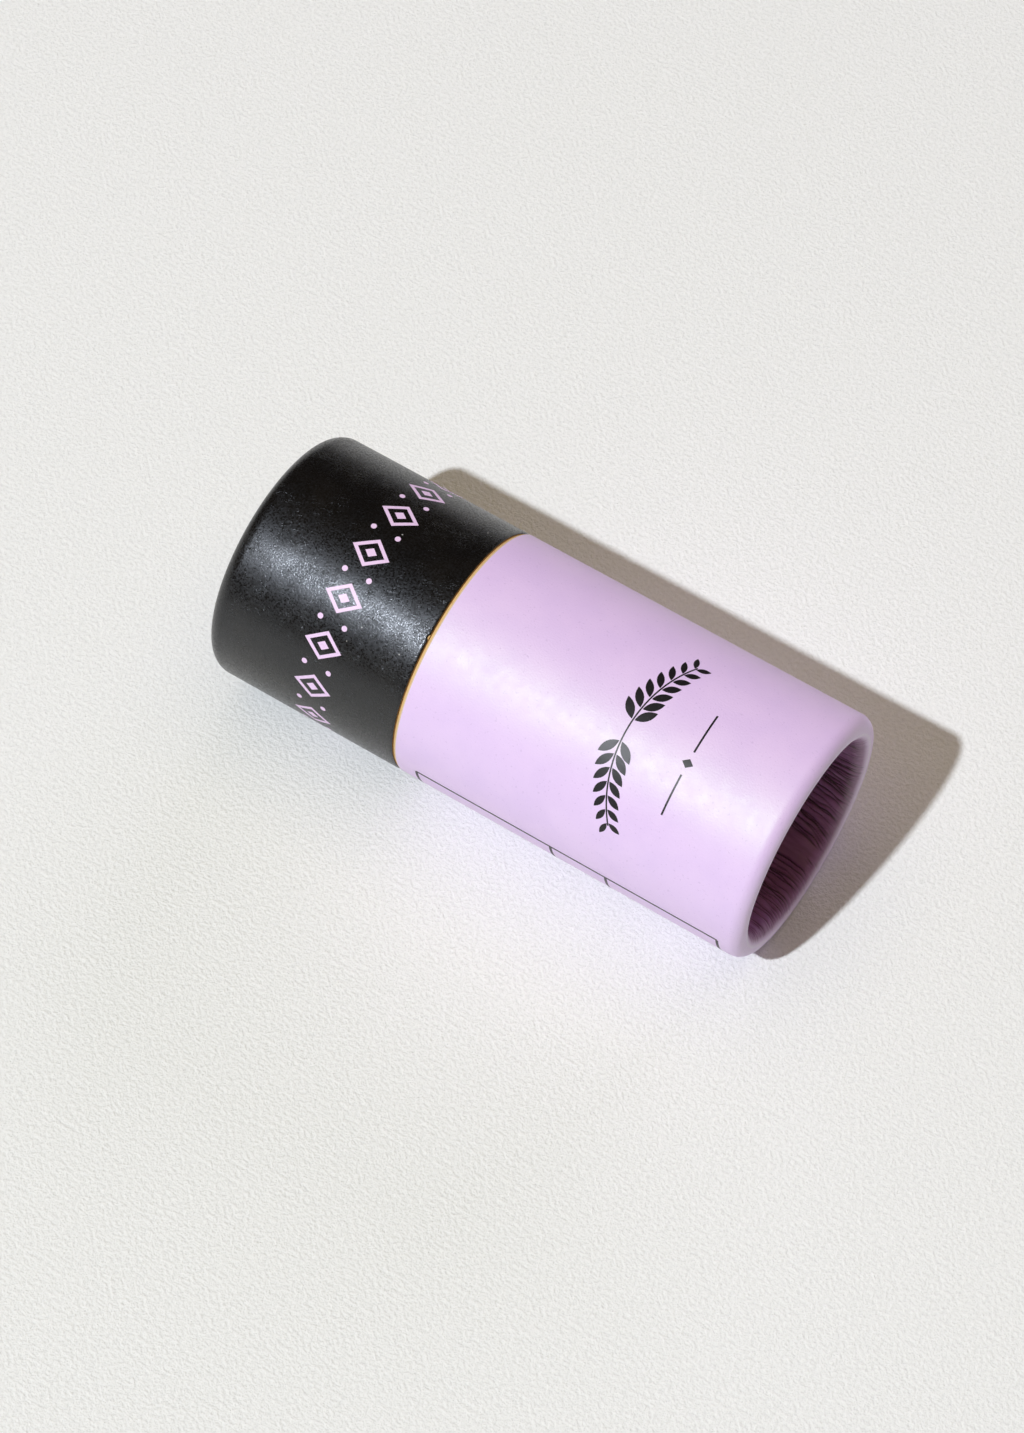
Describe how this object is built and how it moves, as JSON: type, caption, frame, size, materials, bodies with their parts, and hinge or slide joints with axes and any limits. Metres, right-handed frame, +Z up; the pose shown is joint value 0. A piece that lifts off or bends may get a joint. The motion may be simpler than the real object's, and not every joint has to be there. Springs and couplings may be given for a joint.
{
  "type": "lip balm stick",
  "caption": "Paperboard push-up lip balm stick on its side: a pull-off cap closes over a neck tube, and a plug slides up inside to raise the balm.",
  "frame": {"origin": "on the floor under the middle of the tube, which lies on its side", "axes": "+X along the tube towards its open base, -X towards the cap, +Z up"},
  "size_m": [0.051, 0.022, 0.022],
  "materials": {
    "lavender_paper": "satin printed wrap",
    "black_paper": "satin printed wrap",
    "kraft_board": "raw wound kraft board",
    "neck_board": "smooth wound kraft board",
    "plug_board": "raw kraft board",
    "parchment": "greaseproof paper",
    "black_facing": "satin printed paper",
    "plum_facing": "satin printed paper",
    "balm_wax": "satin wax"
  },
  "bodies": {
    "tube": {"body_core": "kraft_board", "body_wrap": "lavender_paper", "neck_tube": "neck_board", "neck_liner": "parchment"},
    "push_up": {"plug_ring": "plug_board", "plug_disc": "plug_board", "plug_facing": "plum_facing", "plug_liner": "parchment", "balm": "balm_wax"},
    "cap": {"cap_core": "kraft_board", "cap_wrap": "black_paper", "cap_end_facing": "black_facing", "cap_end_disc": "kraft_board", "cap_end_liner": "parchment"}
  },
  "joints": [
    {"name": "balm_push_up", "type": "slide", "parent": "tube", "child": "push_up", "axis": [-1, 0, 0], "range_m": [0, 0.0345]},
    {"name": "cap_pull_off", "type": "slide", "parent": "push_up", "child": "cap", "axis": [-1, 0, 0], "range_m": [0, 0.024]}
  ]
}
